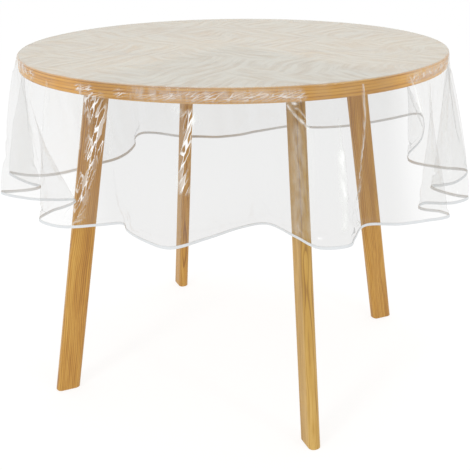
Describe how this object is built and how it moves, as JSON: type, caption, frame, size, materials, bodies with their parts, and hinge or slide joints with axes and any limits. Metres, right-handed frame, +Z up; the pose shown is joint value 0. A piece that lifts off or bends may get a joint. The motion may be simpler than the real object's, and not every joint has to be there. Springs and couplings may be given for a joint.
{
  "type": "clothed round table",
  "caption": "Round oak dining table with splayed legs, under a clear vinyl cloth that hangs in folds with a bound hem.",
  "frame": {"origin": "on the floor, under the centre of the tabletop", "axes": "+Z up, -Y the front, +X the right; the legs stand about 22 degrees from X and from Y, and the table's axis is Z"},
  "size_m": [1.0688, 0.934, 0.7519],
  "materials": {
    "clear_film": "clear soft vinyl film, glossy, with fold creases",
    "hem_tape": "white vinyl binding tape, sewn",
    "oak_veneer": "satin lacquered light oak veneer",
    "oak_band": "satin lacquered light oak, grain along the edge",
    "oak_leg": "satin lacquered solid oak, grain along the leg",
    "core_board": "bare fibreboard",
    "plate_steel": "zinc plated pressed steel",
    "screw_steel": "zinc plated",
    "insert_brass": "turned brass"
  },
  "bodies": {
    "table": {"tabletop_core": "core_board", "top_veneer": "oak_veneer", "underside_veneer": "oak_veneer", "edge_band": "oak_band", "leg_front": "oak_leg", "leg_plate_front": "plate_steel", "plate_screws_front": "screw_steel", "leg_bolts_front": "screw_steel", "leg_inserts_front": "insert_brass", "leg_right": "oak_leg", "leg_plate_right": "plate_steel", "plate_screws_right": "screw_steel", "leg_bolts_right": "screw_steel", "leg_inserts_right": "insert_brass", "leg_back": "oak_leg", "leg_plate_back": "plate_steel", "plate_screws_back": "screw_steel", "leg_bolts_back": "screw_steel", "leg_inserts_back": "insert_brass", "leg_left": "oak_leg", "leg_plate_left": "plate_steel", "plate_screws_left": "screw_steel", "leg_bolts_left": "screw_steel", "leg_inserts_left": "insert_brass"},
    "cloth": {"clear_film_sheet": "clear_film", "hem_binding": "hem_tape"}
  },
  "joints": [
    {"name": "cloth_lift", "type": "slide", "parent": "table", "child": "cloth", "axis": [0, 0, 1], "range_m": [0, 0.34]}
  ]
}
